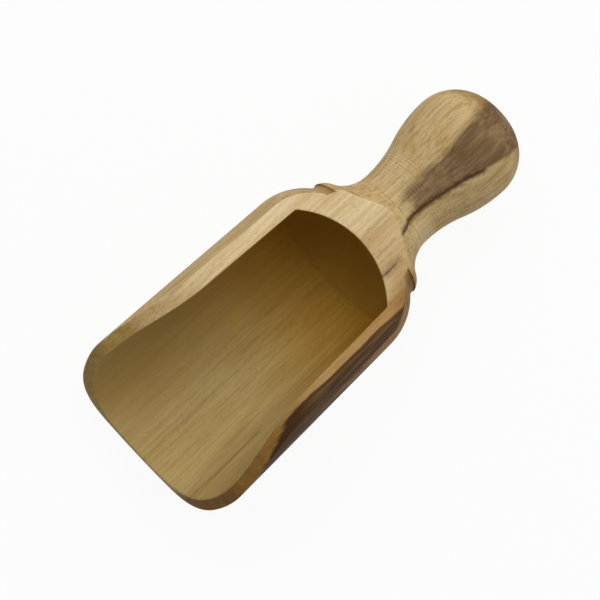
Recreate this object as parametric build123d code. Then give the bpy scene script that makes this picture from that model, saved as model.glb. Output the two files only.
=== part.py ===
from build123d import *
import os
from math import asin, atan2, cos, degrees, radians, sin, sqrt

# A turned wooden measuring scoop, in millimetres: an open barrel for a bowl, and a knob for a handle.
# Both are turned about one axis. X runs along it from the joint, positive towards the lip, and the
# radii stand off it. At the end the scoop is laid down on its shoulder and its knob, as it lies on a table.

# The bowl: a slightly tapered barrel with a round shoulder at its back
bowl_length = 97.0            # joint to lip
mouth_radius = 29.3           # outside of the barrel at the lip
barrel_taper = 2.35           # how much narrower it is where the shoulder starts
shoulder_length = 12.8        # along the axis, from the barrel down to the collar
step_height = 0.4             # small step from the shoulder down to the collar
collar_radius = 20.75
collar_width = 1.15           # from the step to the highest line of the collar's round back
bead_x = 11.55                # joint to that line
bead_radius = 4.35            # rounding of the collar's back
groove_reach = 1.45           # past that line, towards the joint, to the steep side of the turned groove
groove_depth = 0.45           # at its steep side; the other side slopes up to the step

# The hollow: a slightly tapered bore with a shallow domed end
lip_wall = 4.05               # wood round the bore at the lip
back_wall = 4.1               # wood round the bore at the shoulder
dome_x = 11.35                # joint to the deepest point of the domed end
dome_depth = 10.6             # deepest point to the corner between dome and bore
bore_corner_ease = 1.2        # softening of that corner

# The opening: the top is sawn away along a flat rim that runs out above the neck and sweeps down to the lip
rim_above_neck = 1.4          # flat rim above the narrowest place of the neck
brow_radius = 43.0            # curve from the flat rim into the slope
slope_angle = 34.0            # slope below the brow, from the axis
corner_radius = 8.0           # curve from the slope into the steep front
front_angle = 60.0            # direction of the steep part, which ends level with the axis
front_radius = 32.0           # curve of the front down to the lip
lip_height = 3.3              # upright part of the lip
rim_ease = 0.4                # sanded edges of the rim

# The handle: a slim neck that swells into a knob with a flattened end
handle_length = 43.55         # joint to the end of the knob
neck_setback = 2.55           # joint to the narrowest place, just behind it
neck_radius = 12.6
knob_setback = 14.15          # end of the knob to its widest place
knob_radius = 17.3
knob_end_radius = 27.5        # flattened end
belly_share = 0.51            # of the long S curve from knob to neck, the part that swells outwards

# The joint: a dowel glued into a blind hole in each piece
dowel_radius = 5.0
wood_before_dome = 3.3        # left between the bowl's blind hole and the hollow
dowel_in_handle = 16.0
dowel_ease = 0.8              # chamfer at the dowel's ends
glue_gap = 0.1                # round the dowel
end_gap = 0.4                 # past each end of the dowel
joint_ease = 0.12             # fine groove round the joint

overrun = 3.0                 # how far every cutting shape passes the wood
seam_angle = 60.0             # where the turned surfaces start and end, round the axis from the top

joint_point = Vector(0, 0)
barrel_radius = mouth_radius - barrel_taper
neck_x = -neck_setback
knob_x = knob_setback - handle_length
step_x = bead_x + collar_width
step_radius = collar_radius + step_height
shoulder_x = step_x + shoulder_length
bore_back_x = dome_x + dome_depth
bore_mouth_radius = mouth_radius - lip_wall
bore_back_radius = barrel_radius - back_wall
rim_height = neck_radius + rim_above_neck
dowel_in_bowl = dome_x - wood_before_dome - end_gap


def arc_about(centre, start, end):
    # Arc from start to end about a centre, shorter than half a turn
    reach = (start - centre).length
    towards = (start - centre + end - centre).normalized()
    return ThreePointArc(start, centre + towards * reach, end)


def turned(profile):
    # Solid turned from a flat profile drawn above the axis
    return Rot(seam_angle, 0, 0) * revolve(Plane.XZ * profile, axis=Axis.X)


def corner_of(profile, point):
    # The profile's corner at a point
    return profile.vertices().sort_by_distance(point)[0]


def front_cove():
    # Cove between collar and neck: it leaves the collar's bead and the neck's waist without a corner
    along = bead_x - neck_x
    drop = collar_radius - bead_radius - neck_radius
    radius = (along**2 + drop**2 - bead_radius**2) / (2 * (drop + bead_radius))
    return Vector(neck_x, neck_radius + radius), radius


def cove_height(x):
    # Radius of the neck at x, in front of its waist
    centre, radius = front_cove()
    return centre.Y - sqrt(radius**2 - (x - centre.X) ** 2)


def shoulder_arc():
    # Centre and radius of the shoulder, which carries on the barrel's line down to the step
    start = Vector(shoulder_x, barrel_radius)
    line = (Vector(bowl_length, mouth_radius) - start).normalized()
    chord = Vector(step_x, step_radius) - start
    inward = Vector(line.Y, -line.X)
    radius = chord.length**2 / (2 * chord.dot(inward))
    return start + inward * radius, radius


def knob_crown():
    # Centre and radius of the knob's round back, between its widest place and the flattened end
    top = 2 * knob_setback * knob_end_radius - knob_setback**2 - knob_radius**2
    radius = top / (2 * (knob_end_radius - knob_radius))
    return Vector(knob_x, knob_radius - radius), radius


def bowl_outside():
    cove, cove_radius = front_cove()
    bead = Vector(bead_x, collar_radius - bead_radius)
    cove_start = Vector(0, cove_height(0))
    cove_end = bead + (cove - bead).normalized() * bead_radius
    groove_x = bead_x - groove_reach
    bead_edge = Vector(groove_x, bead.Y + sqrt(bead_radius**2 - groove_reach**2))
    groove_foot = Vector(groove_x, bead_edge.Y - groove_depth)
    step_foot = Vector(step_x, collar_radius)
    step_top = Vector(step_x, step_radius)
    shoulder_start = Vector(shoulder_x, barrel_radius)
    shoulder, shoulder_radius = shoulder_arc()
    barrel_slope = (mouth_radius - barrel_radius) / (bowl_length - shoulder_x)
    lip_end = Vector(bowl_length + overrun, mouth_radius + barrel_slope * overrun)
    outline = Polyline(joint_point, cove_start)
    outline += arc_about(cove, cove_start, cove_end)
    outline += arc_about(bead, cove_end, bead_edge)
    outline += Polyline(bead_edge, groove_foot, step_foot, step_top)
    outline += arc_about(shoulder, step_top, shoulder_start)
    outline += Polyline(shoulder_start, lip_end, (lip_end.X, 0), joint_point)
    profile = make_face(outline)
    return turned(chamfer(corner_of(profile, cove_start), joint_ease))


def bowl_hollow():
    depth = bore_back_x - dome_x
    dome_radius = (depth**2 + bore_back_radius**2) / (2 * depth)
    dome = Vector(dome_x + dome_radius, 0)
    deepest = Vector(dome_x, 0)
    corner = Vector(bore_back_x, bore_back_radius)
    taper = (bore_mouth_radius - bore_back_radius) / (bowl_length - bore_back_x)
    past_lip = bowl_length + 2 * overrun
    end = Vector(past_lip, bore_back_radius + taper * (past_lip - bore_back_x))
    outline = arc_about(dome, deepest, corner)
    outline += Polyline(corner, end, (end.X, 0), deepest)
    profile = make_face(outline)
    return turned(fillet(corner_of(profile, corner), bore_corner_ease))


def opening_cut():
    # Everything above the rim: the front stands up from the lip, leans back, and rolls over onto the flat
    foot = Vector(bowl_length, -mouth_radius - overrun)
    lip = Line(foot, (bowl_length, lip_height - mouth_radius))
    front = JernArc(lip @ 1, lip % 1, front_radius, 90 - front_angle)
    steep_run = -(front @ 1).Y / sin(radians(front_angle))
    steep = Line(front @ 1, front @ 1 + front % 1 * steep_run)
    corner = JernArc(steep @ 1, steep % 1, corner_radius, front_angle - slope_angle)
    brow_drop = brow_radius * (1 - cos(radians(slope_angle)))
    rise = rim_height - brow_drop - (corner @ 1).Y
    run = rise / sin(radians(slope_angle))
    slope = Line(corner @ 1, corner @ 1 + corner % 1 * run)
    brow = JernArc(slope @ 1, slope % 1, brow_radius, slope_angle)
    high = mouth_radius + overrun
    far = bowl_length + 3 * overrun
    outline = lip + front + steep + corner + slope + brow
    outline += Polyline(brow @ 1, (neck_x, rim_height), (neck_x, high), (far, high), (far, foot.Y), foot)
    return extrude(make_face(Plane.XZ * outline), amount=high, both=True)


def socket(start, end):
    # Blind hole on the axis, between two places along it
    return Pos((start + end) / 2, 0, 0) * Cylinder(dowel_radius + glue_gap, end - start, rotation=(0, 90, 0))


def bowl():
    blank = bowl_outside() - bowl_hollow() - socket(-overrun, dowel_in_bowl + end_gap)
    opening = opening_cut()
    wood = blank - opening
    return fillet(new_edges(blank, opening, combined=wood), rim_ease)


def handle():
    cove, cove_radius = front_cove()
    swell = knob_radius - neck_radius
    both_radii = ((neck_x - knob_x) ** 2 + swell**2) / (2 * swell)
    belly_radius = both_radii * belly_share
    belly = Vector(knob_x, knob_radius - belly_radius)
    back_cove = Vector(neck_x, neck_radius + both_radii - belly_radius)
    crown, crown_radius = knob_crown()
    end_centre = Vector(knob_end_radius - handle_length, 0)
    cove_start = Vector(0, cove_height(0))
    waist = Vector(neck_x, neck_radius)
    belly_start = belly + (back_cove - belly).normalized() * belly_radius
    widest = Vector(knob_x, knob_radius)
    end_start = end_centre + (crown - end_centre).normalized() * knob_end_radius
    tip = Vector(-handle_length, 0)
    outline = Polyline(joint_point, cove_start)
    outline += arc_about(cove, cove_start, waist)
    outline += arc_about(back_cove, waist, belly_start)
    outline += arc_about(belly, belly_start, widest)
    outline += arc_about(crown, widest, end_start)
    outline += arc_about(end_centre, end_start, tip)
    outline += Polyline(tip, joint_point)
    profile = make_face(outline)
    wood = turned(chamfer(corner_of(profile, cove_start), joint_ease))
    return wood - socket(-dowel_in_handle - end_gap, overrun)


def joint_dowel():
    length = dowel_in_bowl + dowel_in_handle
    middle = (dowel_in_bowl - dowel_in_handle) / 2
    peg = Pos(middle, 0, 0) * Cylinder(dowel_radius, length, rotation=(0, 90, 0))
    return chamfer(peg.edges().filter_by(GeomType.CIRCLE), dowel_ease)


def laid_down(pieces):
    # The shoulder and the knob's back share one flat line below them: the table
    shoulder, shoulder_radius = shoulder_arc()
    crown, crown_radius = knob_crown()
    apart = shoulder - crown
    tilt = atan2(apart.Y, apart.X) + asin((shoulder_radius - crown_radius) / apart.length)
    height = shoulder_radius + shoulder.Y * cos(tilt) - shoulder.X * sin(tilt)
    turn = Rot(0, -degrees(tilt), 0)
    tilted = {name: turn * piece for name, piece in pieces.items()}
    box = Compound(list(tilted.values())).bounding_box()
    place = Pos(-(box.min.X + box.max.X) / 2, 0, height)
    print("laid down by", round(degrees(tilt), 3), "degrees, axis lifted by", round(height, 3))
    return {name: place * piece for name, piece in tilted.items()}


pieces = laid_down({"bowl": bowl(), "handle": handle(), "joint_dowel": joint_dowel()})
os.makedirs("parts", exist_ok=True)
for name, piece in pieces.items():
    export_step(piece, "parts/" + name + ".step")
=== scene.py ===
import bpy
from math import cos, pi, radians, sin, sqrt
from mathutils import Matrix, Vector


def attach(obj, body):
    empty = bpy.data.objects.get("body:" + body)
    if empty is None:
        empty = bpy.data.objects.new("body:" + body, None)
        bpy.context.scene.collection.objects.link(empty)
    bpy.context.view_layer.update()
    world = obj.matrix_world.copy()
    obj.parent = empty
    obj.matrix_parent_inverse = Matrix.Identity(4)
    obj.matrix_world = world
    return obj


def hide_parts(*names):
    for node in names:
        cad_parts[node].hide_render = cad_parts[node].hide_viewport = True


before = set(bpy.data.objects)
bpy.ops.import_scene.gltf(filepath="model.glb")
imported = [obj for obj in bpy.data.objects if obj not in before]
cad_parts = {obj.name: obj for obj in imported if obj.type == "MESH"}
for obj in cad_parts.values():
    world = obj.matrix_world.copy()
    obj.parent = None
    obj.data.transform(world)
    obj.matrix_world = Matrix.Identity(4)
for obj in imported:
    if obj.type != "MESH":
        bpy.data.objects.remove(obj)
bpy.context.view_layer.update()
print("loaded", sorted(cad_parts))

turningAxis = {                        # the scoop's own axis, and how it lies in the frame
    "start": (-0.0286142, 0.0, 0.0223227),     # where bowl and handle meet, on the axis, in metres
    "tiltDeg": 9.94484,                # how far the axis rises towards the lip
    "millimetre": 0.001,               # pieces and patterns below are laid out in millimetres
}


def paint(red, green, blue):
    # a screen colour, 0 to 255, as a shader colour
    out = []
    for part in (red, green, blue):
        part /= 255
        out.append(part / 12.92 if part <= 0.04045 else ((part + 0.055) / 1.055) ** 2.4)
    return (*out, 1.0)


plainWhite = paint(255, 255, 255)


class Shelf:
    # adds nodes to one material's tree, left to right
    spacing = 190

    def __init__(self, material):
        material.use_nodes = True
        self.tree = material.node_tree
        self.tree.nodes.clear()
        self.column = 0

    def add(self, kind, **values):
        node = self.tree.nodes.new(kind)
        node.location = (self.column * self.spacing, 0)
        self.column += 1
        for name, value in values.items():
            setattr(node, name, value)
        return node

    def join(self, source, target):
        self.tree.links.new(source, target)

    def put(self, socket, value):
        # a number or colour stays on the socket, anything else is a link
        if isinstance(value, bpy.types.NodeSocket):
            self.join(value, socket)
        else:
            socket.default_value = value

    def math(self, operation, first, second=0.0):
        node = self.add("ShaderNodeMath", operation=operation)
        self.put(node.inputs[0], first)
        self.put(node.inputs[1], second)
        return node.outputs[0]

    def plus(self, first, second):
        return self.math("ADD", first, second)

    def minus(self, first, second):
        return self.math("SUBTRACT", first, second)

    def times(self, first, *others):
        for other in others:
            first = self.math("MULTIPLY", first, other)
        return first

    def larger(self, first, second):
        return self.math("MAXIMUM", first, second)

    def unsigned(self, value):
        return self.math("ABSOLUTE", value)

    def rest(self, share):
        # what a share leaves of the whole
        return self.minus(1.0, share)

    def length(self, first, second):
        # of the slope over two sides
        return self.math("SQRT", self.plus(self.times(first, first), self.times(second, second)))

    def ramp(self, value, low, high, outLow=0.0, outHigh=1.0):
        node = self.add("ShaderNodeMapRange", interpolation_type="SMOOTHSTEP")
        self.put(node.inputs["Value"], value)
        node.inputs["From Min"].default_value = low
        node.inputs["From Max"].default_value = high
        node.inputs["To Min"].default_value = outLow
        node.inputs["To Max"].default_value = outHigh
        return node.outputs["Result"]

    def curve(self, value, points, low, high):
        # a drawn line through points (place, height), whose heights lie between low and high
        first, last = points[0][0], points[-1][0]
        node = self.add("ShaderNodeFloatCurve")
        self.put(node.inputs["Value"], self.times(self.minus(value, first), 1 / (last - first)))
        line = node.mapping.curves[0]
        while len(line.points) < len(points):
            line.points.new(0.5, 0.5)
        for point, (place, height) in zip(line.points, points):
            point.location = ((place - first) / (last - first), (height - low) / (high - low))
            point.handle_type = "AUTO_CLAMPED"
        node.mapping.update()
        return self.plus(self.times(node.outputs[0], high - low), low)

    def blend(self, share, first, second, how="MIX"):
        node = self.add("ShaderNodeMix", data_type="RGBA", blend_type=how)
        self.put(node.inputs[0], share)
        self.put(node.inputs[6], first)
        self.put(node.inputs[7], second)
        return node.outputs[2]

    def tint(self, share, tone, colour):
        # darkens a tone by a colour
        return self.blend(share, tone, colour, "MULTIPLY")

    def bump(self, height, distance, strength):
        node = self.add("ShaderNodeBump")
        node.inputs["Strength"].default_value = strength
        node.inputs["Distance"].default_value = distance
        self.join(height, node.inputs["Height"])
        return node.outputs["Normal"]


class WoodShelf(Shelf):
    # starts with the scoop's own millimetres: x along the axis from the joint, y across, z up
    def __init__(self, material):
        super().__init__(material)
        place = self.add("ShaderNodeTexCoord").outputs["Object"]
        lay = self.add("ShaderNodeMapping", vector_type="TEXTURE")
        self.join(place, lay.inputs["Vector"])
        lay.inputs["Location"].default_value = turningAxis["start"]
        lay.inputs["Rotation"].default_value = (0, -radians(turningAxis["tiltDeg"]), 0)
        lay.inputs["Scale"].default_value = (turningAxis["millimetre"],) * 3
        parts = self.add("ShaderNodeSeparateXYZ")
        self.join(lay.outputs[0], parts.inputs[0])
        self.where = lay.outputs[0]
        self.x, self.y, self.z = parts.outputs

    def noise(self, perMm, detail=2.0, rough=0.5):
        # perMm: how many blots per millimetre along x, y and z
        spread = self.add("ShaderNodeVectorMath", operation="MULTIPLY")
        self.join(self.where, spread.inputs[0])
        spread.inputs[1].default_value = perMm
        node = self.add("ShaderNodeTexNoise")
        self.join(spread.outputs[0], node.inputs["Vector"])
        node.inputs["Scale"].default_value = 1.0
        node.inputs["Detail"].default_value = detail
        node.inputs["Roughness"].default_value = rough
        return node.outputs["Fac"]

    def swing(self, perMm, reach, detail=2.0):
        # noise about zero, in millimetres
        return self.times(self.minus(self.noise(perMm, detail), 0.5), 2 * reach)


woodLook = {
    "turned": paint(206, 182, 135),    # outside of bowl and handle
    "inside": paint(190, 167, 112),    # the bore, darker than the outside: partly its own tone, partly painted shade of the hollow
    "deepInsideShade": paint(186, 146, 58),     # painted shade: darker and warmer at its back
    "sawn": paint(228, 206, 164),      # the sawn and sanded rim
    "leftInsideShade": paint(238, 228, 208),    # tints: painted shade on the bore's left side
    "grain": paint(210, 192, 160),     # dark grain
    "pore": paint(176, 150, 116),      # short open pores
    "bands": paint(238, 229, 210),     # slow bands, as wide as growth rings
    "endGrain": paint(192, 176, 142),  # wood cut square across its fibres
    "groove": paint(200, 180, 146),    # painted shade in the turned groove at the collar
    "tanAndShade": paint(206, 184, 150),       # sapwood close to the heartwood, and partly painted shade at the back of the rim
    "olive": paint(204, 190, 146),     # the rim towards the lip
    "heart": paint(104, 77, 48),       # the brown heartwood in the bowl's wall
    "heartDark": paint(64, 42, 22),
    "patch": paint(138, 111, 78),      # and on the handle
    "patchDark": paint(98, 73, 46),
    "line": paint(66, 38, 12),         # dark lines, and the edge of the heartwood
    "shine": 0.1,                      # bare sanded wood
    "roughness": (0.2, 0.8, 0.55, 0.7),    # over the fibres' own range
    "bumpDepth": 0.00012,              # metres
    "bumpStrength": 0.5,
    "toolMarks": 0.5,                  # shares of the bump
    "raisedGrain": -0.35,
}

# In the tables below a zone is where something starts to change and where it has changed, in
# millimetres unless said, and then its shares there, if they aren't 0 and 1. A pattern is how many
# blots it has per millimetre along, across and up, its detail and its roughness. A wobble is its
# blots too, how far it moves an edge in millimetres, and its detail.
woodShape = {                          # millimetres along the axis, radius
    "boreBack": (21.95, 22.85),
    "boreFront": (97.0, 25.25),
    "domeCentre": 41.28,
    "domeRadius": 29.93,
    "barrelBack": (25.5, 26.95),
    "barrelFront": (97.0, 29.3),
    "intoBarrel": (21.85, 21.95),      # zones: along, where the dome gives way to the bore
    "nearBore": (0.15, 0.5, 1.0, 0.0),     # past the surface of the hollow
    "underSkin": (0.15, 0.5),          # below the barrel's surface
    "wallAlong": (25.0, 27.0),
    "flatHeight": (13.55, 13.85),      # up, just under the flat rim
    "flatAlong": (1.0, 2.5),
}


def coneRadius(shelf, back, front):
    # radius of a cone at x, through two places along the axis
    slope = (front[1] - back[1]) / (front[0] - back[0])
    return shelf.plus(shelf.times(shelf.x, slope), back[1] - slope * back[0])


def surfaceKinds(shelf, shape):
    # radius, and which part of the surface this is: inside the bore, and sawn rather than turned
    radius = shelf.length(shelf.y, shelf.z)
    pastBore = shelf.minus(radius, coneRadius(shelf, shape["boreBack"], shape["boreFront"]))
    fromCentre = shelf.length(shelf.minus(shelf.x, shape["domeCentre"]), radius)
    pastDome = shelf.minus(fromCentre, shape["domeRadius"])
    pastDome = shelf.times(pastDome, shelf.rest(shelf.ramp(shelf.x, *shape["intoBarrel"])))
    inside = shelf.ramp(shelf.larger(pastBore, pastDome), *shape["nearBore"])
    under = shelf.minus(coneRadius(shelf, shape["barrelBack"], shape["barrelFront"]), radius)
    wallFace = shelf.times(shelf.ramp(under, *shape["underSkin"]), shelf.ramp(shelf.x, *shape["wallAlong"]))
    flatFace = shelf.times(shelf.ramp(shelf.z, *shape["flatHeight"]),
                           shelf.ramp(shelf.x, *shape["flatAlong"]))
    sawn = shelf.times(shelf.larger(wallFace, flatFace), shelf.rest(inside))
    return radius, inside, sawn


plainShape = {
    "shadedBoreBack": (22.0, 66.0, 1.0, 0.0),    # zones: along, painted shade towards the bore's back
    "shadedBoreLeft": (-20.0, 4.0, 1.0, 0.0),    # across, painted shade on the bore's left side
    "calmDome": (20.0, 24.0, 0.9, 0.0),    # along, how little pattern shows inside
    "calmBore": (-14.0, 2.0, 0.75, 0.42),  # across, the same
    "calmSawn": 0.4,                   # share of the grain that sanding took off the rim
    "pith": (18.0, -46.0),             # across and up from the axis, in millimetres
    "bandSpacing": 3.4,
    "bandWobble": ((0.012, 0.06, 0.06), 5.0),
    "bandTone": (-0.3, 1.0),           # tones are zones in the pattern's own range
    "cloud": ((0.035, 0.09, 0.09), 3.0, 0.55),
    "cloudTone": (0.3, 0.7),
    "bandShare": 0.5,                  # of bands and cloud together
    "fibre": ((0.045, 1.1, 1.1), 4.0, 0.62),
    "fibreTone": (0.36, 0.82),
    "fine": ((0.12, 4.0, 4.0), 2.0, 0.6),
    "fineTone": (0.5, 0.85, 0.0, 0.5),
    "pores": ((0.6, 5.0, 5.0), 1.0, 0.5),
    "poreTone": (0.6, 0.72),
    "poreShare": 0.6,
    "turningMarks": ((1.7, 0.0, 0.0), 2.0, 0.6),
}


def growthBands(shelf, shape):
    # slow bands about a pith outside the scoop
    across = shelf.minus(shelf.y, shape["pith"][0])
    up = shelf.minus(shelf.z, shape["pith"][1])
    reach = shelf.plus(shelf.length(across, up), shelf.swing(*shape["bandWobble"]))
    wave = shelf.math("SINE", shelf.times(reach, 2 * pi / shape["bandSpacing"]))
    return shelf.ramp(wave, *shape["bandTone"])


def plainWood(shelf, inside, sawn, look, shape):
    # tone of the sapwood by itself, with painted shade in the bore, and the patterns in it
    # painted shade in the bore: darker and warmer towards its back, darker on its left side
    bore = shelf.blend(shelf.ramp(shelf.x, *shape["shadedBoreBack"]), look["inside"], look["deepInsideShade"])
    bore = shelf.tint(shelf.ramp(shelf.y, *shape["shadedBoreLeft"]), bore, look["leftInsideShade"])
    tone = shelf.blend(inside, look["turned"], bore)
    tone = shelf.blend(sawn, tone, look["sawn"])
    calm = shelf.larger(shelf.ramp(shelf.x, *shape["calmDome"]), shelf.ramp(shelf.y, *shape["calmBore"]))
    marked = shelf.rest(shelf.times(inside, calm))
    bands = shelf.times(growthBands(shelf, shape), marked)
    cloud = shelf.ramp(shelf.noise(*shape["cloud"]), *shape["cloudTone"])
    tone = shelf.tint(shelf.times(shelf.plus(bands, cloud), shape["bandShare"]), tone, look["bands"])
    fibre = shelf.noise(*shape["fibre"])
    fine = shelf.noise(*shape["fine"])
    grain = shelf.plus(shelf.ramp(fibre, *shape["fibreTone"]), shelf.ramp(fine, *shape["fineTone"]))
    unsanded = shelf.minus(marked, shelf.times(sawn, shape["calmSawn"]))
    tone = shelf.tint(shelf.times(grain, unsanded), tone, look["grain"])
    pores = shelf.ramp(shelf.noise(*shape["pores"]), *shape["poreTone"])
    tone = shelf.tint(shelf.times(pores, marked, shape["poreShare"]), tone, look["pore"])
    return tone, cloud, fibre, grain


endGrainShape = {
    "facing": (0.25, 0.85),            # zones: how squarely the surface looks along the axis
    "insideShare": 0.8,                # how much of it the bore and the rim hide
    "sawnShare": 0.85,
    "neckMiddle": -8.0,                # along: the neck shows little of it
    "offNeck": (13.0, 30.0, 0.25, 1.0),    # both ways from there
}


def endGrain(shelf, inside, sawn, tone, look, shape):
    # wood cut across its fibres is darker: the domed back of the bore, the shoulder and the knob's end
    facing = shelf.add("ShaderNodeNewGeometry").outputs["Normal"]
    alongGrain = shelf.add("ShaderNodeVectorMath", operation="DOT_PRODUCT")
    shelf.join(facing, alongGrain.inputs[0])
    tilt = radians(turningAxis["tiltDeg"])
    alongGrain.inputs[1].default_value = (cos(tilt), 0, sin(tilt))
    square = shelf.ramp(shelf.unsigned(alongGrain.outputs["Value"]), *shape["facing"])
    square = shelf.times(square, shelf.rest(shelf.times(inside, shape["insideShare"])))
    offNeck = shelf.unsigned(shelf.minus(shelf.x, shape["neckMiddle"]))
    square = shelf.times(square, shelf.ramp(offNeck, *shape["offNeck"]))
    square = shelf.times(square, shelf.rest(shelf.times(sawn, shape["sawnShare"])))
    return shelf.tint(square, tone, look["endGrain"])


grooveShadeShape = {                        # zones
    "start": (10.15, 10.4),            # along, past its steep side
    "slope": (10.1, 12.7, 1.0, 0.4),   # along, the painted shade darkest at its steep side
    "end": (12.7, 12.8, 1.0, 0.0),
    "top": (20.85, 21.0, 1.0, 0.0),    # radius
    "bottom": (18.0, 19.0),
}


def collarGrooveShade(shelf, radius, sawn, tone, look, shape):
    # painted shade in the groove at the collar, darkest at its steep side
    along = shelf.times(shelf.ramp(shelf.x, *shape["start"]), shelf.ramp(shelf.x, *shape["slope"]),
                        shelf.ramp(shelf.x, *shape["end"]))
    out = shelf.times(shelf.ramp(radius, *shape["top"]), shelf.ramp(radius, *shape["bottom"]))
    return shelf.tint(shelf.times(along, out, shelf.rest(sawn)), tone, look["groove"])


# where the brown heartwood starts, drawn from the photograph in millimetres
wallEdge = [(-12, 28.5), (-8, 26.6), (-3, 26.4), (2.8, 26.9), (6, 26.9), (8.9, 26.1), (10.5, 24.7),
            (11.6, 23.6), (12.4, 22.5), (13.2, 21.6), (14, 21.4), (16, 21.2)]      # up, across
patchLeft = [(-43, -4.6), (-39, -4.0), (-29, -2.3), (-24, -1.6), (-19.5, -0.6), (-13, -0.9), (-6, -1.7),
             (-2, -0.6), (5, 2.0)]     # along, across
patchRight = [(-43, 10.4), (-35.5, 10.8), (-29.8, 10.1), (-24.8, 8.9), (-20, 7.5), (-15.5, 6.5), (-11, 5.6),
              (-6.3, 4.9), (-1.5, 4.6), (1.4, 5.6), (5, 6.9)]

heartShape = {
    "ragged": ((0.09, 0.7, 0.7), 0.9, 4.0),    # wobbles of its edges
    "slow": ((0.03, 0.1, 0.1), 0.5),
    "wallSpan": (18.0, 30.0),          # wallEdge's distances lie within these
    "patchSpan": (-12.0, 12.0),        # and those of both edges of the patch within these
    "frontSlant": 2.4,                 # it reaches this much further for each millimetre to the right
    "frontRagged": 3.0,                # how much more its front wobbles than its edges
    "frontBase": 10.6,                 # where its front would be in the middle, along
    "wallAlong": (4.0, 9.0),           # zones: along
    "wallBehindFront": (-1.5, 2.0),    # back from its front
    "wallIn": (-0.25, 0.45),           # into it from its edge
    "lineIn": (-0.5, 0.1),
    "lineOut": (0.3, 1.8, 1.0, 0.0),
    "lineShare": 0.7,
    "frontLineIn": (-1.0, 1.5),        # back from its front
    "frontLineOut": (4.0, 16.0, 1.0, 0.0),
    "patchFromLeft": (-2.5, 1.3),      # into the patch from its edges
    "patchFromRight": (-0.7, 0.5),
    "rightWobble": 0.4,                # its right edge wobbles less
    "patchFront": ((0.25, 0.5, 0.5), 6.0, 3.0),    # wobble
    "patchHeight": (0.0, 6.0),         # zones: up
    "patchStart": (-1.5, 6.5),         # back from the joint
    "patchFull": (4.0, 22.0, 0.9, 1.0),
    "wallFibre": (0.34, 0.64),         # in the fibres' own range
    "wallShare": 0.95,
    "mottleFibre": 0.6,                # shares of fibres and cloud in the patch's mottling
    "mottleCloud": 0.25,
    "mottleTone": (0.22, 0.52),
    "patchShare": 0.92,
}


def heartwood(shelf, shape):
    # shares of heartwood and of the dark line at its edge, and how far the patch's edges are
    wander = shelf.plus(shelf.swing(*shape["ragged"]), shelf.swing(*shape["slow"]))
    wall = shelf.minus(shelf.y, shelf.curve(shelf.z, wallEdge, *shape["wallSpan"]))
    wall = shelf.plus(wall, wander)
    # it runs out towards the lip, sooner the nearer it is to the bore
    slant = shelf.times(shelf.y, shape["frontSlant"])
    slant = shelf.plus(slant, shelf.times(wander, shape["frontRagged"]))
    behindFront = shelf.minus(slant, shelf.minus(shelf.x, shape["frontBase"]))
    along = shelf.times(shelf.ramp(shelf.x, *shape["wallAlong"]),
                        shelf.ramp(behindFront, *shape["wallBehindFront"]))
    wallShare = shelf.times(shelf.ramp(wall, *shape["wallIn"]), along)
    edgeLine = shelf.times(shelf.ramp(wall, *shape["lineIn"]), shelf.ramp(wall, *shape["lineOut"]))
    frontLine = shelf.times(shelf.ramp(behindFront, *shape["frontLineIn"]),
                            shelf.ramp(behindFront, *shape["frontLineOut"]))
    wallLine = shelf.larger(shelf.times(edgeLine, along, shape["lineShare"]),
                            shelf.times(frontLine, wallShare))

    fromLeft = shelf.minus(shelf.y, shelf.curve(shelf.x, patchLeft, *shape["patchSpan"]))
    fromRight = shelf.minus(shelf.curve(shelf.x, patchRight, *shape["patchSpan"]), shelf.y)
    raggedRight = shelf.plus(fromRight, shelf.times(wander, shape["rightWobble"]))
    within = shelf.math("MINIMUM", shelf.ramp(shelf.plus(fromLeft, wander), *shape["patchFromLeft"]),
                        shelf.ramp(raggedRight, *shape["patchFromRight"]))
    back = shelf.minus(shelf.swing(*shape["patchFront"]), shelf.x)
    patchShare = shelf.times(within, shelf.ramp(shelf.z, *shape["patchHeight"]),
                             shelf.ramp(back, *shape["patchStart"]), shelf.ramp(back, *shape["patchFull"]))
    return wallShare, wallLine, patchShare, fromLeft, fromRight


sapwoodShape = {
    "wobble": ((0.05, 0.3, 0.3), 1.5),
    "nearHeart": (14.0, 19.5),         # zones: across
    "nearHeartAlong": (4.0, 12.0),
    "insideShare": 0.75,               # how much of it the bore hides
    "frontHeart": (55.0, 74.0, 0.0, 0.5),  # along the rim
    "backRimShade": (-12.0, 17.0),          # across: darker to the right, partly painted shade
    "backRimShadeAlong": (13.0, 24.0, 0.72, 0.0),
    "frontRim": (46.0, 70.0, 0.0, 0.6),
    "lipAlong": (70.0, 80.0),
    "lipLeft": (-12.0, -2.0, 1.0, 0.0),    # across
    "lipShare": 0.4,
    "paleRight": (-4.0, -1.5, 1.0, 0.0),   # past the right edge of the patch
    "paleMiddle": -2.0,                # along
    "paleAlong": (1.5, 5.0, 0.4, 0.0),     # both ways from there
    "paleHeight": (0.0, 4.0),
}


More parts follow.
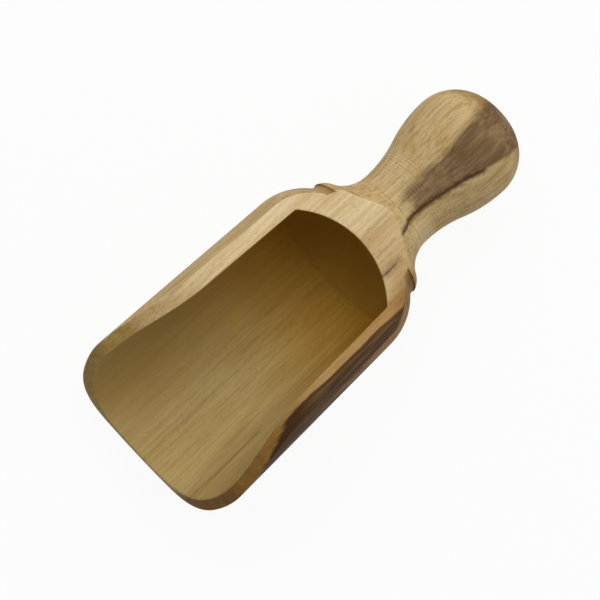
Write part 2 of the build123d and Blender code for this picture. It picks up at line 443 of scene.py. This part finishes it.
def sapwoodTints(shelf, inside, sawn, fromRight, tone, look, shape):
    # browner beside the heartwood, darker to the right at the back of the rim (partly painted shade there),
    # more olive towards the lip
    uneven = shelf.plus(shelf.y, shelf.swing(*shape["wobble"]))
    nearHeart = shelf.times(shelf.ramp(uneven, *shape["nearHeart"]),
                            shelf.ramp(shelf.x, *shape["nearHeartAlong"]))
    nearHeart = shelf.times(nearHeart, shelf.rest(shelf.times(inside, shape["insideShare"])))
    tone = shelf.tint(nearHeart, tone, look["tanAndShade"])
    frontHeart = shelf.times(nearHeart, sawn, shelf.ramp(shelf.x, *shape["frontHeart"]))
    tone = shelf.tint(frontHeart, tone, look["olive"])
    # partly painted shade: the back of the rim darkens towards the right, with browner wood there too
    backRimShade = shelf.times(shelf.ramp(uneven, *shape["backRimShade"]), sawn,
                          shelf.ramp(shelf.x, *shape["backRimShadeAlong"]))
    tone = shelf.tint(backRimShade, tone, look["tanAndShade"])
    frontRim = shelf.times(sawn, shelf.ramp(shelf.x, *shape["frontRim"]))
    atLip = shelf.times(shelf.ramp(shelf.x, *shape["lipAlong"]),
                        shelf.ramp(shelf.y, *shape["lipLeft"]), sawn)
    tone = shelf.tint(shelf.plus(frontRim, shelf.times(atLip, shape["lipShare"])), tone, look["olive"])
    # it is paler where the neck starts, to the right of the heartwood
    fromMiddle = shelf.unsigned(shelf.minus(shelf.x, shape["paleMiddle"]))
    pale = shelf.times(shelf.ramp(fromRight, *shape["paleRight"]), shelf.rest(sawn),
                       shelf.ramp(fromMiddle, *shape["paleAlong"]),
                       shelf.ramp(shelf.z, *shape["paleHeight"]))
    return shelf.blend(pale, tone, look["sawn"])


def heartTones(shelf, wallShare, patchShare, cloud, fibre, tone, look, shape):
    wallTone = shelf.blend(shelf.ramp(fibre, *shape["wallFibre"]), look["heart"], look["heartDark"])
    tone = shelf.blend(shelf.times(wallShare, shape["wallShare"]), tone, wallTone)
    mottle = shelf.plus(shelf.times(fibre, shape["mottleFibre"]), shelf.times(cloud, shape["mottleCloud"]))
    patchTone = shelf.blend(shelf.ramp(mottle, *shape["mottleTone"]), look["patch"], look["patchDark"])
    return shelf.blend(shelf.times(patchShare, shape["patchShare"]), tone, patchTone)


# single dark streaks: across, half width, from, to along the axis, how dark, and above which height
streaks = [
    (11.2, 0.5, 11.6, 17.0, 0.85, 10.5),
    (10.9, 1.8, 10.0, 17.0, 0.42, 10.5),
    (6.2, 0.6, 7.0, 14.0, 0.22, 10.5),
    (-0.2, 0.3, 3.6, 14.2, 0.3, 10.5),
    (19.9, 0.55, 68.0, 97.0, 0.34, -20.0),
    (2.5, 0.7, 50.0, 97.0, 0.16, -27.0),
]

streakShape = {                        # millimetres, and shares of a streak's half width
    "perMm": (0.5, 0.5, 0.5),          # blots per millimetre of its uneven width
    "unevenShare": 1.3,
    "detail": 4.0,
    "leastShare": 0.2,
    "softEdge": (0.0, 1.1, 1.0, 0.0),  # zone, in half widths
    "fadeOut": 1.5,                    # past its ends
    "fadeIn": 0.5,                     # within them
    "wobble": ((0.08, 0.05, 0.05), 0.8),
    "reachUp": 14.0,                   # from the height that it is above
    "heightFade": 2.0,
    "edgeShare": 0.9,                  # how dark the heartwood's edge is
    "patchOffset": 0.15,               # the streak at the patch's right edge
    "patchHalfWidth": 1.2,
    "patchEnds": (-25.0, 4.0),
    "patchHeight": (4.0, 8.0, 0.0, 0.92),
    "thinHalfWidth": 0.6,              # the thin line at its left edge
    "thinEnds": (-31.0, -11.0),
    "thinHeight": (4.0, 8.0, 0.0, 0.38),
}


def streak(shelf, across, width, start, end, shape):
    # a thin dark line along the grain, between two places along it
    thick = shelf.plus(shelf.swing(shape["perMm"], width * shape["unevenShare"], shape["detail"]), width)
    thick = shelf.larger(thick, width * shape["leastShare"])
    line = shelf.ramp(shelf.math("DIVIDE", shelf.unsigned(across), thick), *shape["softEdge"])
    out, within = shape["fadeOut"], shape["fadeIn"]
    return shelf.times(line, shelf.ramp(shelf.x, start - out, start + within),
                       shelf.ramp(shelf.x, end - within, end + out, 1.0, 0.0))


def darkLines(shelf, wallLine, fromLeft, fromRight, shape):
    # the heartwood's edges, and the single streaks
    dark = shelf.times(wallLine, shape["edgeShare"])
    rightEdge = shelf.plus(fromRight, shape["patchOffset"])
    thickLine = streak(shelf, rightEdge, shape["patchHalfWidth"], *shape["patchEnds"], shape)
    dark = shelf.larger(dark, shelf.times(thickLine, shelf.ramp(shelf.z, *shape["patchHeight"])))
    thinLine = streak(shelf, fromLeft, shape["thinHalfWidth"], *shape["thinEnds"], shape)
    dark = shelf.larger(dark, shelf.times(thinLine, shelf.ramp(shelf.z, *shape["thinHeight"])))
    wavy = shelf.swing(*shape["wobble"])
    fade = shape["heightFade"]
    for across, width, start, end, depth, above in streaks:
        place = shelf.plus(shelf.minus(shelf.y, across), wavy)
        top = above + shape["reachUp"]
        mark = shelf.times(streak(shelf, place, width, start, end, shape),
                           shelf.ramp(shelf.z, above, above + fade),
                           shelf.ramp(shelf.z, top, top + fade, 1.0, 0.0), depth)
        dark = shelf.larger(dark, mark)
    return dark


def woodMaterial(name, look):
    material = bpy.data.materials.new(name)
    shelf = WoodShelf(material)
    radius, inside, sawn = surfaceKinds(shelf, woodShape)
    tone, cloud, fibre, grain = plainWood(shelf, inside, sawn, look, plainShape)
    tone = endGrain(shelf, inside, sawn, tone, look, endGrainShape)
    # painted shade in the collar's groove
    tone = collarGrooveShade(shelf, radius, sawn, tone, look, grooveShadeShape)
    wallShare, wallLine, patchShare, fromLeft, fromRight = heartwood(shelf, heartShape)
    tone = sapwoodTints(shelf, inside, sawn, fromRight, tone, look, sapwoodShape)
    tone = heartTones(shelf, wallShare, patchShare, cloud, fibre, tone, look, heartShape)
    tone = shelf.blend(darkLines(shelf, wallLine, fromLeft, fromRight, streakShape), tone, look["line"])

    # turning marks go round the turned surfaces, and raised grain runs along all of them
    marks = shelf.times(shelf.noise(*plainShape["turningMarks"]), shelf.rest(sawn))
    height = shelf.plus(shelf.times(marks, look["toolMarks"]), shelf.times(grain, look["raisedGrain"]))
    skin = shelf.add("ShaderNodeBsdfPrincipled")
    shelf.join(tone, skin.inputs["Base Color"])
    shelf.join(shelf.bump(height, look["bumpDepth"], look["bumpStrength"]), skin.inputs["Normal"])
    shelf.join(shelf.ramp(fibre, *look["roughness"]), skin.inputs["Roughness"])
    skin.inputs["Specular IOR Level"].default_value = look["shine"]
    end = shelf.add("ShaderNodeOutputMaterial")
    shelf.join(skin.outputs[0], end.inputs["Surface"])
    return material


for node in ("bowl", "joint_dowel"):
    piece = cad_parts[node]
    piece.data.materials.clear()
    piece.data.materials.append(woodMaterial(node + "Wood", woodLook))
print("wood is on the bowl and the dowel")

handleLook = {                         # millimetres, from the joint backwards
    "length": 43.55,
    "jointEase": 0.05,                 # fine groove round the joint
    "waist": (2.55, 12.6),             # how far back, radius
    "frontCoveRadius": 11.92,
    "knob": (14.15, 17.3),             # from its widest place to the end, radius
    "endRadius": 27.5,                 # its flattened end
    "bellyShare": 0.51,                # of the S curve from knob to neck, what swells outwards
    "socket": (16.4, 5.1),             # blind hole for the dowel: depth, radius
    "sides": 144,
    "endRows": 40,                     # round the knob's end
    "step": 0.16,                      # between rows where the turning lines are
    "wideStep": 0.8,                   # and where they aren't
    "lineSpacing": 0.96,               # the turning lines round the neck
    "lineDepth": 0.09,
    "lineUneven": (0.6, 0.4, 2.3),     # share of their depth, how much it varies, and how fast
    "linesStart": 1.0,                 # they have their full depth from here
    "linesEnd": 17.0,                  # and are gone here
    "linesFade": 6.0,                  # after fading over this length
    "smoothDeg": 35,
    "pickReach": 0.01,                 # how exactly a ring of points is picked
}


def handleRadius(back, look):
    # radius of the handle at a place behind the joint
    waistBack, waist = look["waist"]
    setback, widest = look["knob"]
    knobBack = look["length"] - setback
    if back <= waistBack:
        bow = look["frontCoveRadius"]
        return waist + bow - sqrt(bow**2 - (waistBack - back) ** 2)
    swell = widest - waist
    bothRadii = ((knobBack - waistBack) ** 2 + swell**2) / (2 * swell)
    belly = bothRadii * look["bellyShare"]
    cove = bothRadii - belly
    change = knobBack - (knobBack - waistBack) * look["bellyShare"]
    if back <= change:
        return waist + cove - sqrt(cove**2 - (back - waistBack) ** 2)
    if back <= knobBack:
        return widest - belly + sqrt(belly**2 - (knobBack - back) ** 2)
    end = look["endRadius"]
    crown = (2 * setback * end - setback**2 - widest**2) / (2 * (end - widest))
    endCentre = look["length"] - end
    onCrown = widest - crown + sqrt(max(crown**2 - (back - knobBack) ** 2, 0.0))
    onEnd = sqrt(max(end**2 - (back - endCentre) ** 2, 0.0))
    turnBack = endCentre + (knobBack - endCentre) * end / (end - crown)
    return onCrown if back < turnBack else onEnd


def turningLine(back, look):
    # how deep the tool's fine lines are here
    share = min(max((look["linesEnd"] - back) / look["linesFade"], 0.0), 1.0)
    share *= min(back / look["linesStart"], 1.0)
    usual, change, pace = look["lineUneven"]
    uneven = usual + change * sin(back * pace)
    wave = (1 - cos(2 * pi * back / look["lineSpacing"])) / 2
    return look["lineDepth"] * share * uneven * wave**2


def handleRows(look):
    # places behind the joint and radii, from the joint to the middle of the knob's end
    rows = [(0.0, handleRadius(0.0, look) - look["jointEase"])]
    setback = look["knob"][0]
    back = look["jointEase"]
    while back < look["length"] - setback:
        rows.append((back, handleRadius(back, look) - turningLine(back, look)))
        back += look["step"] if back < look["linesEnd"] else look["wideStep"]
    for step in range(look["endRows"]):
        back = look["length"] - setback * (1 - sin(step / look["endRows"] * pi / 2))
        rows.append((back, handleRadius(back, look)))
    return rows


def pickRing(piece, back, reach):
    # select the ring of points at a place along the axis
    bpy.ops.object.mode_set(mode="OBJECT")
    for point in piece.data.vertices:
        point.select = abs(point.co.x - back) < reach
    bpy.ops.object.mode_set(mode="EDIT")


def makeHandle(look):
    mm = turningAxis["millimetre"]
    rows = handleRows(look)
    bpy.ops.object.select_all(action="DESELECT")
    bpy.ops.mesh.primitive_circle_add(vertices=look["sides"], radius=rows[0][1] * mm,
                                      location=(0, 0, 0), rotation=(0, pi / 2, 0))
    piece = bpy.context.object
    piece.name = "turnedHandle"
    bpy.ops.object.transform_apply(location=True, rotation=True, scale=True)
    bpy.ops.object.mode_set(mode="EDIT")
    bpy.ops.mesh.select_mode(type="VERT")
    bpy.ops.mesh.select_all(action="SELECT")
    for (back, radius), (nextBack, nextRadius) in zip(rows, rows[1:]):
        bpy.ops.mesh.extrude_region_move(TRANSFORM_OT_translate={"value": ((back - nextBack) * mm, 0, 0)})
        grow = nextRadius / radius
        bpy.ops.transform.resize(value=(1, grow, grow), center_override=(-nextBack * mm, 0, 0))
    # the knob's end closes in its middle
    lastStep = (rows[-1][0] - look["length"]) * mm
    bpy.ops.mesh.extrude_region_move(TRANSFORM_OT_translate={"value": (lastStep, 0, 0)})
    bpy.ops.mesh.merge(type="CENTER")
    # the flat face at the joint, and the blind hole for the dowel
    pickRing(piece, 0.0, look["pickReach"] * mm)
    depth, hole = look["socket"]
    shrink = hole / rows[0][1]
    bpy.ops.mesh.extrude_region_move(TRANSFORM_OT_translate={"value": (0, 0, 0)})
    bpy.ops.transform.resize(value=(1, shrink, shrink), center_override=(0, 0, 0))
    bpy.ops.mesh.extrude_region_move(TRANSFORM_OT_translate={"value": (-depth * mm, 0, 0)})
    bpy.ops.mesh.edge_face_add()
    bpy.ops.mesh.select_all(action="SELECT")
    bpy.ops.mesh.normals_make_consistent(inside=False)
    # lay it down in the frame: its object stays at the origin
    bpy.ops.transform.rotate(value=radians(turningAxis["tiltDeg"]), orient_axis="Y",
                             center_override=(0, 0, 0))
    bpy.ops.transform.translate(value=turningAxis["start"])
    bpy.ops.object.mode_set(mode="OBJECT")
    bpy.ops.object.shade_smooth_by_angle(angle=radians(look["smoothDeg"]))
    piece.data.materials.append(woodMaterial("handleWood", woodLook))
    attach(piece, "root")
    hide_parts("handle")
    return piece


handle = makeHandle(handleLook)
print("handle is turned:", len(handle.data.polygons), "faces")

stageLook = {
    "floor": paint(236, 236, 236),
    "floorSize": 6.0,                  # metres
    "white": 1.0,                      # a strength of 1 is white
    "whiteShare": 0.93,                # how far the floor is lifted to white for the camera
}


def makeFloor(look):
    bpy.ops.object.select_all(action="DESELECT")
    bpy.ops.mesh.primitive_plane_add(size=look["floorSize"], location=(0, 0, 0))
    floor = bpy.context.object
    floor.name = "floor"
    material = bpy.data.materials.new("floorPaint")
    shelf = Shelf(material)
    lit = shelf.add("ShaderNodeBsdfDiffuse")
    lit.inputs["Color"].default_value = look["floor"]
    glow = shelf.add("ShaderNodeEmission")
    glow.inputs["Color"].default_value = plainWhite
    glow.inputs["Strength"].default_value = look["white"]
    ray = shelf.add("ShaderNodeLightPath")
    seen = shelf.math("MAXIMUM", ray.outputs["Is Camera Ray"], ray.outputs["Is Glossy Ray"])
    mix = shelf.add("ShaderNodeMixShader")
    shelf.join(shelf.times(seen, look["whiteShare"]), mix.inputs[0])
    shelf.join(lit.outputs[0], mix.inputs[1])
    shelf.join(glow.outputs[0], mix.inputs[2])
    end = shelf.add("ShaderNodeOutputMaterial")
    shelf.join(mix.outputs[0], end.inputs["Surface"])
    floor.data.materials.append(material)
    return floor


makeFloor(stageLook)

lightLook = {
    "lamps": {                         # direction from the scoop, watts
        "lampBehindHandle": ((-0.54, -0.25, 0.8), 37.0),
        "lampAtLeft": ((-0.04, -0.706, 0.707), 6.5),
        "lampAtRight": ((-0.39, 0.773, 0.5), 7.5),
    },
    "away": 2.0,                       # metres
    "size": 2.6,                       # across each lamp
    "sky": 0.18,                       # soft light from all round
    "white": 1.0,                      # what the camera sees there
}


def makeLight(look):
    for name, (direction, watts) in look["lamps"].items():
        data = bpy.data.lights.new(name, "AREA")
        data.shape = "DISK"
        data.size = look["size"]
        data.energy = watts
        lamp = bpy.data.objects.new(name, data)
        bpy.context.scene.collection.objects.link(lamp)
        direction = Vector(direction).normalized()
        lamp.location = direction * look["away"]
        lamp.rotation_euler = direction.to_track_quat("Z", "Y").to_euler()

    world = bpy.data.worlds.new("studio")
    bpy.context.scene.world = world
    world.use_nodes = True
    tree = world.node_tree
    tree.nodes.clear()
    soft = tree.nodes.new("ShaderNodeBackground")
    soft.inputs["Color"].default_value = plainWhite
    soft.inputs["Strength"].default_value = look["sky"]
    white = tree.nodes.new("ShaderNodeBackground")
    white.inputs["Color"].default_value = plainWhite
    white.inputs["Strength"].default_value = look["white"]
    ray = tree.nodes.new("ShaderNodeLightPath")
    mix = tree.nodes.new("ShaderNodeMixShader")
    end = tree.nodes.new("ShaderNodeOutputWorld")
    tree.links.new(ray.outputs["Is Camera Ray"], mix.inputs[0])
    tree.links.new(soft.outputs[0], mix.inputs[1])
    tree.links.new(white.outputs[0], mix.inputs[2])
    tree.links.new(mix.outputs[0], end.inputs["Surface"])


makeLight(lightLook)

cameraLook = {
    "aim": (0.00964, 0.0, 0.02903),    # point on the turning axis that the lens looks at
    "back": (-0.00076, 0.01719, 0.99985),  # direction from there to the camera
    "right": (-0.72934, 0.68409, -0.01231),    # and towards the right of the picture
    "away": 0.5347,                    # metres
    "nearest": 0.01,                   # nothing closer than this is drawn
    "lens": 114.0,                     # millimetres
    "sensor": 36.0,
    "shift": (0.01441, 0.01044),       # of the picture's width
}


def makeCamera(look):
    data = bpy.data.cameras.new("camera")
    data.lens = look["lens"]
    data.sensor_width = look["sensor"]
    data.shift_x, data.shift_y = look["shift"]
    data.clip_start = look["nearest"]
    camera = bpy.data.objects.new("camera", data)
    bpy.context.scene.collection.objects.link(camera)
    back = Vector(look["back"]).normalized()
    right = Vector(look["right"])
    right = (right - back * right.dot(back)).normalized()
    up = back.cross(right)
    turn = Matrix((right, up, back)).transposed().to_4x4()
    camera.matrix_world = Matrix.Translation(Vector(look["aim"]) + back * look["away"]) @ turn
    bpy.context.scene.camera = camera
    bpy.context.scene.view_settings.view_transform = "Standard"


makeCamera(cameraLook)
print("stage, light and camera are set")
